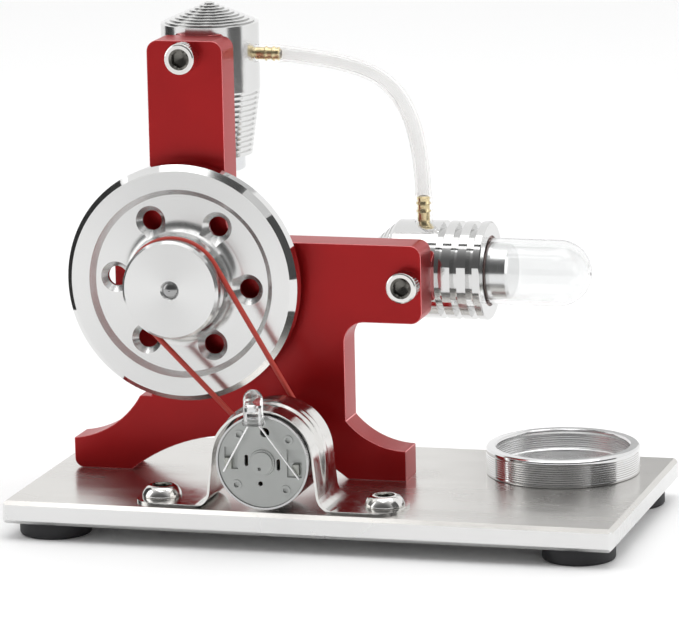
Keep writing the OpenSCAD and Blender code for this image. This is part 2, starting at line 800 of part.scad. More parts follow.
// A ring of points round point i of the route
function hose_ring(i, sides) =
    let (h = hose_heading(i), across = [-h[1], h[0]])
    [for (k = [0 : sides - 1]) let (a = 360 * k / sides) [
        hose_route[i][0] + hose_radius * cos(a) * across[0],
        cylinder_y + hose_radius * sin(a),
        hose_route[i][1] + hose_radius * cos(a) * across[1],
    ]];

module air_hose() {
    sides = 12;
    rings = len(hose_route);
    points = [for (i = [0 : rings - 1]) each hose_ring(i, sides)];
    start_cap = [[for (k = [sides - 1 : -1 : 0]) k]];
    end_cap = [[for (k = [0 : sides - 1]) (rings - 1) * sides + k]];
    walls = [
        for (i = [0 : rings - 2], k = [0 : sides - 1])
            let (n = (k + 1) % sides, a = i * sides, b = a + sides)
                each [[a + k, b + n, b + k], [a + k, a + n, b + n]],
    ];
    color([0.92, 0.92, 0.9, 0.7]) polyhedron(points = points, faces = concat(start_cap, walls, end_cap));
}

// ---------------------------------------------------------------- belt drive

// An open round belt in one plane: a round section swept round the hub's groove, straight
// across, round the generator's pulley and back
module drive_belt() {
    run = [generator_x - shaft_x, generator_z - shaft_z];
    distance = norm(run);
    contact = acos((hub_belt_radius - generator_belt_radius) / distance);
    sides = 12;
    hub_steps = 40;
    pulley_steps = 20;
    stations = concat(
        [for (i = [0 : hub_steps]) [0, hub_belt_radius, contact + (360 - 2 * contact) * i / hub_steps]],
        [for (i = [0 : pulley_steps])
            [distance, generator_belt_radius, -contact + 2 * contact * i / pulley_steps]]
    );
    count = len(stations);
    points = [
        for (p = stations, k = [0 : sides - 1])
            let (r = p[1] + belt_diameter / 2 * cos(360 * k / sides))
                [p[0] + r * cos(p[2]), r * sin(p[2]), belt_diameter / 2 * sin(360 * k / sides)],
    ];
    walls = [
        for (i = [0 : count - 1], k = [0 : sides - 1])
            let (n = (k + 1) % sides, a = i * sides, b = ((i + 1) % count) * sides)
                each [[a + k, b + n, b + k], [a + k, a + n, b + n]],
    ];
    color([0.72, 0.16, 0.1]) front_view(shaft_x, belt_y, shaft_z) rotate(atan2(run[1], run[0]))
        polyhedron(points = points, faces = walls);
}

// ---------------------------------------------------------------- generator

// A drawing frame at the front of the generator: local z comes forwards
module generator_face(back = 0) front_view(generator_x, generator_front + back, generator_z) children();

module generator_can() {
    boss = 1.2;
    color([0.72, 0.72, 0.72]) difference() {
        generator_face(generator_length) rotate_extrude() polygon([
            [1.05, -boss], [3, -boss], [3.2, -boss + 0.2], [3.2, 0], [generator_radius - 1, 0],
            [generator_radius, 1], [generator_radius, generator_length],
            [generator_radius - can_wall, generator_length], [generator_radius - can_wall, 1],
            [1.05, 1],
        ]);
        for (side = [-1, 1]) generator_face(generator_length + over) translate([side * 6, 0, -1])
            cylinder(h = 4, r = 1.25);
    }
}

module generator_end_cap() {
    r = generator_radius - can_wall - 0.05;
    thickness = 2.2;
    dimple_circle = 9.15;
    color([0.66, 0.67, 0.68]) generator_face(thickness + 0.3) difference() {
        union() {
            cylinder(h = thickness, r = r);
            cylinder(h = thickness + 0.5, r1 = 3.9, r2 = 3.3);
            cylinder(h = thickness + 1, r = 2.85);
            for (i = [0 : 3]) rotate(41 + 90 * i) translate([dimple_circle, 0, 0])
                cylinder(h = thickness + 0.25, r = 1.3);
        }
        translate([0, 0, -over]) cylinder(h = 1.6 + over, r = 1.05);
        for (i = [0 : 3]) rotate(41 + 90 * i) translate([dimple_circle, 0, thickness - 0.4])
            cylinder(h = 1, r = 0.65);
        translate([-0.55, -1.5, thickness]) cylinder(h = 2, r = 0.45);
        translate([-0.6, -5.5, -over]) cylinder(h = 4, r = 0.6);
        translate([0.8, 7.8, -over]) cylinder(h = 4, r = 1.2);
        for (side = [-1, 1]) translate([side * 4.2, side == 1 ? -0.4 : 0.4, thickness / 2]) {
            cube([0.9, 2, thickness + 2], center = true);
            for (end = [-1, 1]) translate([0, end, -2]) cylinder(h = 4, r = 0.45);
        }
        translate([-8.2, 0.9, thickness]) cube([3.4, 5.6, 1.2], center = true);
        translate([8.4, 0.1, thickness]) cube([3.8, 7.2, 1.2], center = true);
    }
}

// Two solder tabs that stand in the recesses of the end cap
module generator_terminals() {
    color([0.8, 0.76, 0.62]) for (tab = [[-8.8, -0.35], [8.9, -1.4]])
        generator_face(0.9) translate([tab[0] - 0.9, tab[1] - 1.4, 0]) cube([1.8, 2.8, 1.5]);
}

module generator_magnets() {
    color([0.25, 0.25, 0.26]) generator_face(14) for (start = [30, 210]) rotate(start)
        rotate_extrude(angle = 120) translate([9.5, 0]) square([2, 9]);
}

module generator_armature() {
    teeth = 3;
    color([0.55, 0.33, 0.18]) generator_face(13.5) {
        difference() {
            cylinder(h = 8, r = 6);
            translate([0, 0, -over]) cylinder(h = 10, r = 1.02);
        }
        for (i = [0 : teeth - 1]) rotate(i * 120 + 30) rotate([0, 0, -45])
            rotate_extrude(angle = 90) translate([5.5, 1]) square([3.4, 6]);
    }
}

module generator_shaft() {
    front = generator_front + 1.1;
    back = belt_y + 3.5;
    color([0.7, 0.7, 0.72]) front_view(generator_x, back, generator_z) cylinder(h = back - front, r = 1);
}

module generator_pulley() {
    flange = generator_belt_radius + 0.8;
    root = generator_belt_radius - belt_diameter / 2 - 0.25;
    color([0.86, 0.86, 0.87]) front_view(generator_x, belt_y + 2.5, generator_z) rotate_extrude()
        polygon([
            [1.02, 0], [flange - 0.4, 0], [flange, 0.4], [flange, 1], [root, 2.05], [root, 2.95],
            [flange, 4], [flange, 4.6], [flange - 0.4, 5], [1.02, 5],
        ]);
}

// ---------------------------------------------------------------- lamp

module led() {
    color([0.9, 0.92, 0.95, 0.4]) translate([led_x, led_y, led_bottom]) {
        cylinder(h = led_flange_height, r = led_flange_radius);
        cylinder(h = led_height - led_radius, r = led_radius);
        translate([0, 0, led_height - led_radius]) sphere(r = led_radius);
    }
}

module led_legs() {
    y = generator_front - 0.9;
    color([0.8, 0.8, 0.8]) for (side = [-1, 1])
        bar([led_x + side * leg_pitch / 2, led_y, led_bottom - 0.1],
            [generator_x + side * 9.9, y, generator_z - (side < 0 ? 2.4 : 3.6)], leg_radius);
}

// ---------------------------------------------------------------- strap

function arc(centre, radius, from, to, steps) = [
    for (i = [0 : steps]) let (angle = from + (to - from) * i / steps)
        centre + radius * [cos(angle), sin(angle)]
];

// The bent sheet in front view, drawn from the hoop's centre: the hoop, two legs that lean
// outwards and the bends that lead into the tabs
module strap_outline() {
    bend_z = strap_bend + strap_thickness + strap_drop - generator_height;
    polygon(concat(
        arc([strap_tab_x, bend_z], strap_bend, 270, 180 + strap_lean, 14),
        arc([0, 0], strap_outer, strap_lean, 180 - strap_lean, 56),
        arc([-strap_tab_x, bend_z], strap_bend, -strap_lean, -90, 14),
        arc([-strap_tab_x, bend_z], strap_bend + strap_thickness, -90, -strap_lean, 14),
        arc([0, 0], strap_inner, 180 - strap_lean, strap_lean, 56),
        arc([strap_tab_x, bend_z], strap_bend + strap_thickness, 180 + strap_lean, 270, 14)
    ));
}

// A tab in plan view, from the bend to its rounded end, with its screw hole
module strap_tab() {
    difference() {
        union() {
            translate([strap_tab_x, 0])
                square([strap_reach - strap_corner - strap_tab_x, strap_width]);
            translate([strap_tab_x, strap_corner])
                square([strap_reach - strap_tab_x, strap_width - 2 * strap_corner]);
            for (y = [strap_corner, strap_width - strap_corner])
                translate([strap_reach - strap_corner, y]) circle(r = strap_corner);
        }
        translate([strap_screw_x, strap_width / 2]) circle(r = 3.2);
    }
}

module generator_strap() {
    color([0.8, 0.8, 0.8]) {
        front_view(strap_x, strap_front + strap_width, generator_z - strap_drop)
            linear_extrude(strap_width) strap_outline();
        for (side = [0, 1]) translate([strap_x, strap_front, base_top]) mirror([side, 0, 0])
            linear_extrude(strap_thickness) strap_tab();
    }
}

// Button-head screws with a hexagon socket
module strap_screws() {
    dome_radius = (pow(m6_head_radius, 2) + pow(m6_head_height, 2)) / (2 * m6_head_height);
    color([0.8, 0.8, 0.8]) for (side = [-1, 1])
        translate([strap_x + side * strap_screw_x, strap_screw_y, base_top + strap_thickness])
            difference() {
                union() {
                    intersection() {
                        cylinder(h = m6_head_height, r = m6_head_radius - 0.05);
                        translate([0, 0, m6_head_height - dome_radius]) sphere(r = dome_radius);
                    }
                    translate([0, 0, -6]) cylinder(h = 6.1, r = 2.95);
                }
                translate([0, 0, 1.2]) cylinder(h = 4, r = 4 / sqrt(3), $fn = 6);
            }
}

// ---------------------------------------------------------------- burner seat

module burner_seat() {
    outer = seat_diameter / 2;
    inner = seat_bore / 2;
    grooves = 9;
    pitch = 0.58;
    depth = 0.22;
    color([0.85, 0.85, 0.86]) translate([seat_x, seat_y, base_top]) difference() {
        rotate_extrude() difference() {
            polygon([
                [0, 0], [outer - 0.3, 0], [outer, 0.3], [outer, seat_height - 0.5],
                [outer - 0.5, seat_height], [inner + 0.9, seat_height], [inner, seat_height - 0.9],
                [inner, seat_floor], [0, seat_floor],
            ]);
            for (i = [0 : grooves - 1]) translate([outer, 1 + i * pitch])
                polygon([[0.1, -depth - 0.1], [-depth, 0], [0.1, depth + 0.1]]);
        }
        translate([0, 0, -over]) cylinder(h = 1.3 + over, r = 2);
    }
}

module burner_seat_screw() {
    color([0.75, 0.75, 0.76]) translate([seat_x, seat_y, foot_height + 3.2]) rotate([180, 0, 0])
        cap_screw(3.5, 2.8, 1.95, base_thickness - 3.2 + 1.2, 3);
}

// ---------------------------------------------------------------- nodes

base_plate();
rubber_feet();
foot_screws();
frame();
frame_screws();
front_bearing();
rear_bearing();
crank_shaft();
flywheel();
flywheel_set_screw();
crank_disc();
crank_disc_set_screw();
crank_pin();
power_conrod();
power_wrist_screw();
displacer_conrod();
displacer_wrist_screw();
power_piston();
power_piston_rod();
displacer_piston();
displacer_rod();
power_cylinder();
power_liner();
displacer_cylinder();
displacer_gland();
cylinder_screws();
glass_tube();
tube_seal();
upper_nipple();
lower_nipple();
air_hose();
drive_belt();
generator_can();
generator_end_cap();
generator_terminals();
generator_magnets();
generator_armature();
generator_shaft();
generator_pulley();
led();
led_legs();
generator_strap();
strap_screws();
burner_seat();
burner_seat_screw();
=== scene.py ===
import json
import math

import bmesh
import bpy
from mathutils import Matrix, Vector


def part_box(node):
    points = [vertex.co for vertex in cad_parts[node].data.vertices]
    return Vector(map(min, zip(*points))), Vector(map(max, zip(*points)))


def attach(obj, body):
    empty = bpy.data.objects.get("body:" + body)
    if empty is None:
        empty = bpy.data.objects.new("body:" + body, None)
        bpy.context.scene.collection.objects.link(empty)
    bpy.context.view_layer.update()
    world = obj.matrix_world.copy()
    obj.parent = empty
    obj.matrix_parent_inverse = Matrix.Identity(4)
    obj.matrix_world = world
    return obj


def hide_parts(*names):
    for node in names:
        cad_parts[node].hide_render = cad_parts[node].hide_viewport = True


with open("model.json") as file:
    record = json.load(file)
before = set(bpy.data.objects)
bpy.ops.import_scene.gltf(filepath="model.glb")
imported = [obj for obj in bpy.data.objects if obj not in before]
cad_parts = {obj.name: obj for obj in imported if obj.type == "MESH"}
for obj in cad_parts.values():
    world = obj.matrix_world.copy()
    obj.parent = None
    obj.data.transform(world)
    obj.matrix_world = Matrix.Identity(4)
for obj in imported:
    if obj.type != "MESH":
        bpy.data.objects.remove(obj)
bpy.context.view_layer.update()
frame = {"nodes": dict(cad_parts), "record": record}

NODES = frame["nodes"]
MM = 0.001
FRONT, UP = Vector((0, -1, 0)), Vector((0, 0, 1))


def middle(node):
    """The middle of a CAD node's box."""
    low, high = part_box(node)
    return (low + high) / 2


def new_object(name, data):
    """An object in the scene that holds the given data."""
    obj = bpy.data.objects.new(name, data)
    bpy.context.scene.collection.objects.link(obj)
    return obj


def new_mesh(name, verts, faces):
    """A mesh from points and faces."""
    mesh = bpy.data.meshes.new(name)
    mesh.from_pydata([tuple(v) for v in verts], [], faces)
    return mesh


# ---------------------------------------------------------------- the hose's sizes

NIPPLE_LENGTH = 6.5 * MM
HOSE_RADIUS = 2.1 * MM
HOSE_BORE = 1.3 * MM
HOSE_SWELL = 0.25 * MM
HOSE_LIP = 0.15 * MM
HOSE_SIDES = 40
# The hose's route between the ends of the two nipples: to the right, and up
HOSE_ROUTE = [
    (-0.0211, 0.1178), (-0.018, 0.1176), (-0.015, 0.1173), (-0.012, 0.1169), (-0.009, 0.1165),
    (-0.006, 0.116), (-0.003, 0.1153), (0, 0.1145), (0.0029, 0.1134), (0.0056, 0.112),
    (0.0079, 0.1102), (0.0098, 0.1082), (0.0114, 0.1059), (0.0128, 0.1033), (0.0139, 0.1005),
    (0.0148, 0.0973), (0.0155, 0.0939), (0.016, 0.0902), (0.0164, 0.0862), (0.0166, 0.0813),
]


# ---------------------------------------------------------------- camera

LENS_MM = 250.9
CAMERA_DISTANCE = 1.2188
CLIP_NEAR, CLIP_FAR = 0.05, 20
AZIMUTH = math.radians(16.1)
ELEVATION = math.radians(11.57)
ROLL = math.radians(-1.215)
TARGET_HEIGHT = 52.0 * MM
TARGET_SHIFT = -0.33 * MM


def make_camera():
    """A long lens, a little to the right of the front and above it, tilted slightly."""
    base_low, base_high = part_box("base_plate")
    target = Vector((TARGET_SHIFT, (base_low.y + base_high.y) / 2, TARGET_HEIGHT))
    forward = Vector((
        -math.sin(AZIMUTH) * math.cos(ELEVATION),
        math.cos(AZIMUTH) * math.cos(ELEVATION),
        -math.sin(ELEVATION),
    ))
    level = Vector((math.cos(AZIMUTH), math.sin(AZIMUTH), 0))
    upright = level.cross(forward)
    right = level * math.cos(ROLL) + upright * math.sin(ROLL)
    up = upright * math.cos(ROLL) - level * math.sin(ROLL)
    data = bpy.data.cameras.new("camera")
    data.lens = LENS_MM
    data.clip_start, data.clip_end = CLIP_NEAR, CLIP_FAR
    camera = new_object("camera", data)
    place = target - forward * CAMERA_DISTANCE
    camera.matrix_world = Matrix((
        (right.x, up.x, -forward.x, place.x),
        (right.y, up.y, -forward.y, place.y),
        (right.z, up.z, -forward.z, place.z),
        (0, 0, 0, 1),
    ))
    bpy.context.scene.camera = camera


# ---------------------------------------------------------------- mesh helpers

def finish_mesh(name, verts, faces, material, body, sharp, second=None):
    """A piece from points and faces, smooth except across edges sharper than the given angle.

    second is another material and a test of a face's middle that says where it goes."""
    mesh = new_mesh(name, verts, faces)
    bm = bmesh.new()
    bm.from_mesh(mesh)
    bmesh.ops.remove_doubles(bm, verts=bm.verts, dist=1e-7)
    bmesh.ops.dissolve_degenerate(bm, edges=bm.edges, dist=1e-8)
    bmesh.ops.recalc_face_normals(bm, faces=bm.faces)
    bm.to_mesh(mesh)
    bm.free()
    mesh.shade_smooth()
    mesh.set_sharp_from_angle(angle=math.radians(sharp))
    mesh.materials.append(material)
    if second:
        mesh.materials.append(second[0])
        for polygon in mesh.polygons:
            if second[1](polygon.center):
                polygon.material_index = 1
    obj = new_object(name, mesh)
    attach(obj, body)
    return obj


def add_shape(verts, faces, shape):
    """Adds another shape's points and faces to the two lists."""
    more_verts, more_faces = shape
    offset = len(verts)
    verts.extend(more_verts)
    faces.extend(tuple(offset + v for v in face) for face in more_faces)


def frame_of(origin, axis):
    """Places points given as (across, across, along) about an axis through origin."""
    axis = axis.normalized()
    side = UP.cross(axis) if abs(axis.z) < 0.9 else Vector((1, 0, 0))
    side.normalize()
    other = axis.cross(side)
    return lambda a, b, c: origin + side * a + other * b + axis * c


def rings_mesh(rings, steps, place):
    """Rings of (radius or function of angle, height) about an axis, joined and capped."""
    verts, faces = [], []
    for radius, height in rings:
        for k in range(steps):
            angle = 2 * math.pi * k / steps
            r = radius(angle) if callable(radius) else radius
            verts.append(place(r * math.cos(angle), r * math.sin(angle), height))
    last = (len(rings) - 1) * steps
    for a in range(0, last, steps):
        for k in range(steps):
            n = (k + 1) % steps
            faces.append((a + k, a + n, a + steps + n, a + steps + k))
    faces.append(tuple(range(steps - 1, -1, -1)))
    faces.append(tuple(range(last, last + steps)))
    return verts, faces


def tube_mesh(path, radii, sides, closed=False):
    """A round tube along a path that lies in a plane across Y. radii has one radius a point."""
    verts, faces = [], []
    count = len(path)
    for i, point in enumerate(path):
        before = path[(i - 1) % count] if closed or i > 0 else point
        after = path[(i + 1) % count] if closed or i < count - 1 else point
        heading = (after - before).normalized()
        across = heading.cross(Vector((0, 1, 0))).normalized()
        for k in range(sides):
            angle = 2 * math.pi * k / sides
            offset = across * math.cos(angle) + Vector((0, 1, 0)) * math.sin(angle)
            verts.append(point + offset * radii[i])
    for i in range(count if closed else count - 1):
        a, b = i * sides, (i + 1) % count * sides
        for k in range(sides):
            n = (k + 1) % sides
            faces.append((a + k, a + n, b + n, b + k))
    return verts, faces


def smooth_path(points, per_span):
    """A Catmull-Rom curve through the points."""
    ends = [2 * points[0] - points[1]] + points + [2 * points[-1] - points[-2]]
    path = []
    for i in range(1, len(ends) - 2):
        p0, p1, p2, p3 = ends[i - 1:i + 3]
        for step in range(per_span):
            t = step / per_span
            path.append(
                p1 + 0.5 * t * ((p2 - p0)
                + t * (2 * p0 - 5 * p1 + 4 * p2 - p3 + t * (3 * (p1 - p2) + p3 - p0)))
            )
    return path + [points[-1]]


def length_of(path):
    """The length of a path of straight steps."""
    return sum((b - a).length for a, b in zip(path, path[1:]))


# ---------------------------------------------------------------- material helpers

class Shader:
    """A Principled material with short ways to add what varies over it."""

    def __init__(self, name, color, roughness, metallic=0.0, **sockets):
        self.material = bpy.data.materials.new(name)
        self.material.use_nodes = True
        self.tree = self.material.node_tree
        self.bsdf = self.tree.nodes["Principled BSDF"]
        self.set("Base Color", (*color, 1))
        self.set("Roughness", roughness)
        self.set("Metallic", metallic)
        for socket, value in sockets.items():
            self.set(socket.replace("_", " "), value)

    def set(self, socket, value):
        self.bsdf.inputs[socket].default_value = value

    def node(self, kind, **values):
        node = self.tree.nodes.new(kind)
        for key, value in values.items():
            if hasattr(node, key):
                setattr(node, key, value)
            else:
                node.inputs[key.replace("_", " ")].default_value = value
        return node

    def link(self, out, into):
        self.tree.links.new(out, into)

    def place(self, scale=(1, 1, 1)):
        """Object coordinates in metres, stretched by scale."""
        source = self.node("ShaderNodeTexCoord")
        mapping = self.node("ShaderNodeMapping")
        mapping.inputs["Scale"].default_value = scale
        self.link(source.outputs["Object"], mapping.inputs["Vector"])
        return mapping.outputs["Vector"]

    def noise(self, scale, stretch=(1, 1, 1), detail=3):
        """Noise over the piece, so many features to a metre before it is stretched."""
        noise = self.node("ShaderNodeTexNoise", Scale=scale, Detail=detail)
        self.link(self.place(stretch), noise.inputs["Vector"])
        return noise.outputs["Fac"]

    def remap(self, value, low, high, start=0.0, end=1.0):
        """Takes a value between start and end to one between low and high."""
        node = self.node("ShaderNodeMapRange")
        node.inputs["From Min"].default_value = start
        node.inputs["From Max"].default_value = end
        node.inputs["To Min"].default_value = low
        node.inputs["To Max"].default_value = high
        self.link(value, node.inputs["Value"])
        return node.outputs["Result"]

    def math(self, operation, a, b):
        node = self.node("ShaderNodeMath", operation=operation)
        for socket, value in zip(node.inputs, (a, b)):
            if isinstance(value, (int, float)):
                socket.default_value = value
            else:
                self.link(value, socket)
        return node.outputs["Value"]

    def blend(self, factor, a, b):
        """A colour between a and b."""
        mix = self.node("ShaderNodeMix", data_type="RGBA")
        self.link(factor, mix.inputs["Factor"])
        for socket, value in ((mix.inputs[6], a), (mix.inputs[7], b)):
            if isinstance(value, tuple):
                socket.default_value = (*value, 1)
            else:
                self.link(value, socket)
        return mix.outputs[2]

    def bump(self, height, strength, distance):
        node = self.node("ShaderNodeBump", Strength=strength, Distance=distance)
        self.link(height, node.inputs["Height"])
        self.link(node.outputs["Normal"], self.bsdf.inputs["Normal"])

    def radius(self, axis, centre):
        """Distance from an axis through centre along X, Y or Z, in millimetres."""
        source = self.node("ShaderNodeTexCoord")
        keep = {"X": (0, 1, 1), "Y": (1, 0, 1), "Z": (1, 1, 0)}[axis]
        shift = self.node("ShaderNodeVectorMath", operation="SUBTRACT")
        shift.inputs[1].default_value = centre
        self.link(source.outputs["Object"], shift.inputs[0])
        flat = self.node("ShaderNodeVectorMath", operation="MULTIPLY")
        flat.inputs[1].default_value = [k / MM for k in keep]
        self.link(shift.outputs["Vector"], flat.inputs[0])
        size = self.node("ShaderNodeVectorMath", operation="LENGTH")
        self.link(flat.outputs["Vector"], size.inputs[0])
        return size.outputs["Value"]

    def along(self, axis):
        """Position along one axis, in millimetres."""
        source = self.node("ShaderNodeTexCoord")
        split = self.node("ShaderNodeSeparateXYZ")
        self.link(source.outputs["Object"], split.inputs["Vector"])
        return self.math("MULTIPLY", split.outputs[axis], 1 / MM)

    def line_noise(self, value, scale, detail):
        """Noise that varies with one value only, such as a radius: turning marks."""
        noise = self.node("ShaderNodeTexNoise", noise_dimensions="1D", Scale=scale, Detail=detail)
        self.link(value, noise.inputs["W"])
        return noise.outputs["Fac"]

    def radial_sheen(self, axis, amount):
        """Highlights drawn out by marks that run round an axis."""
        self.set("Anisotropic", amount)
        tangent = self.node("ShaderNodeTangent", direction_type="RADIAL", axis=axis)
        self.link(tangent.outputs["Tangent"], self.bsdf.inputs["Tangent"])


# ---------------------------------------------------------------- materials

def red_anodised(name, color, roughness):
    """Dyed, bead-blasted aluminium under its clear oxide skin."""
    s = Shader(name, color, roughness, 0.85, Coat_Weight=0.25, Coat_Roughness=0.22, Coat_IOR=1.5)
    grain = s.noise(9000, detail=2)
    cloud = s.noise(60, detail=3)
    s.link(s.blend(s.remap(cloud, 0, 1, 0.3, 0.7), tuple(0.9 * c for c in color), color),
           s.bsdf.inputs["Base Color"])
    s.link(s.remap(grain, roughness - 0.06, roughness + 0.06), s.bsdf.inputs["Roughness"])
    s.bump(grain, 0.25, 0.00003)
    return s.material


def brushed_plate():
    """Satin sheet steel, brushed along its length; faces that point sideways or down are painted
    lighter than the top, partly for their machined finish and partly as painted light.
    """
    s = Shader("base_steel", (0.68, 0.665, 0.64), 0.24, 1.0, Anisotropic=0.35)
    lines = s.noise(220, (1.5, 60, 60), detail=5)
    cloud = s.noise(30, (1, 3, 1), detail=4)
    s.link(s.remap(cloud, 0.19, 0.3, 0.3, 0.7), s.bsdf.inputs["Roughness"])
    top = s.blend(lines, (0.62, 0.605, 0.58), (0.70, 0.685, 0.66))
    normal = s.node("ShaderNodeSeparateXYZ")
    s.link(s.node("ShaderNodeNewGeometry").outputs["Normal"], normal.inputs["Vector"])
    # Sides and bottom, picked by which way they face, get a lighter colour: partly the machined
    # finish, partly painted light.
    lit_side_mask = s.math("LESS_THAN", normal.outputs["Z"], 0.4)
    s.link(s.blend(lit_side_mask, top, (0.76, 0.76, 0.755)), s.bsdf.inputs["Base Color"])
    s.bump(lines, 0.08, 0.00002)
    return s.material


def turned_disc(name, node, color, polished_bands):
    """A disc turned about Y: fine rings, a radial sheen, and bands of mirror polish."""
    s = Shader(name, color, 0.2, 1.0)
    s.radial_sheen("Y", 0.75)
    s.set("Anisotropic Rotation", 0.25)
    radius = s.radius("Y", middle(node))
    rings = s.line_noise(radius, 3.2, 8)
    rough = s.remap(rings, 0.2, 0.25, 0.25, 0.75)
    for low, high in polished_bands:
        beyond = s.math("GREATER_THAN", radius, low)
        within = s.math("LESS_THAN", radius, high)
        band = s.math("MULTIPLY", beyond, within)
        rough = s.math("MULTIPLY", rough, s.remap(band, 1, 0.3))
    s.link(rough, s.bsdf.inputs["Roughness"])
    s.bump(rings, 0.03, 0.00001)
    return s.material


def turned_metal(name, axis, color, roughness, sheen):
    """A turned or ground round part: marks run round its axis."""
    s = Shader(name, color, roughness, 1.0)
    s.radial_sheen(axis, sheen)
    lines = s.line_noise(s.along(axis), 6, 6)
    s.link(s.remap(lines, roughness * 0.8, roughness * 1.3, 0.3, 0.7), s.bsdf.inputs["Roughness"])
    s.bump(lines, 0.1, 0.00002)
    return s.material


def polished_metal(name, color, roughness, wave=0.15):
    """Bright plated or polished metal that is never perfectly flat."""
    s = Shader(name, color, roughness, 1.0)
    s.link(s.remap(s.noise(400, detail=4), roughness * 0.7, roughness * 1.5, 0.3, 0.7),
           s.bsdf.inputs["Roughness"])
    s.bump(s.noise(90, detail=2), wave, 0.0001)
    return s.material


def cast_metal(name, color, roughness):
    """Plain grey metal with a fine grain."""
    s = Shader(name, color, roughness, 0.75)
    grain = s.noise(3500, detail=3)
    cloud = s.noise(150, detail=3)
    s.link(s.blend(cloud, tuple(0.9 * c for c in color), tuple(min(1, 1.08 * c) for c in color)),
           s.bsdf.inputs["Base Color"])
    s.bump(grain, 0.25, 0.00004)
    return s.material


def rubber(name, color, roughness):
    """Moulded rubber with a dull, slightly uneven skin."""
    s = Shader(name, color, roughness)
    speck = s.noise(2500, detail=3)
    s.link(s.remap(speck, roughness - 0.08, roughness + 0.1), s.bsdf.inputs["Roughness"])
    s.bump(speck, 0.3, 0.00004)
    return s.material


def clear(name, color, roughness, ior, transmission=1.0):
    """Glass, clear resin or silicone."""
    return Shader(name, color, roughness, IOR=ior, Transmission_Weight=transmission)


def glass():
    """Drawn tube glass, with faint waves along it."""
    s = clear("tube_glass", (0.95, 0.955, 0.955), 0.0, 1.47)
    s.bump(s.noise(45, (0.3, 1, 1), detail=1), 0.12, 0.0001)
    return s.material


def silicone():
    """Milky along its free run, and clear where it is stretched over a nipple."""
    s = clear("hose_silicone", (0.99, 0.99, 0.985), 0.2, 1.12, 0.6)
    upper = s.math("LESS_THAN", s.along("X"), HOSE_ROUTE[0][0] / MM)
    lower = s.math("LESS_THAN", s.along("Z"), HOSE_ROUTE[-1][1] / MM)
    stretched = s.math("MAXIMUM", upper, lower)
    haze = s.noise(120, detail=2)
    clarity = s.math("MAXIMUM", stretched, s.remap(haze, 0.78, 0.86))
    s.link(clarity, s.bsdf.inputs["Transmission Weight"])
    s.link(s.remap(stretched, 0.2, 0.03), s.bsdf.inputs["Roughness"])
    s.bump(haze, 0.02, 0.00005)
    return s.material


def copper_windings():
    """Turns of enamelled copper wire."""
    s = Shader("armature_copper", (0.72, 0.32, 0.14), 0.35, 1.0)
    turns = s.node("ShaderNodeTexWave", Scale=900, bands_direction="Y")
    s.link(s.place(), turns.inputs["Vector"])
    s.bump(turns.outputs["Fac"], 0.6, 0.0001)
    return s.material


FLYWHEEL_POLISH_MM = (29.45, 32)


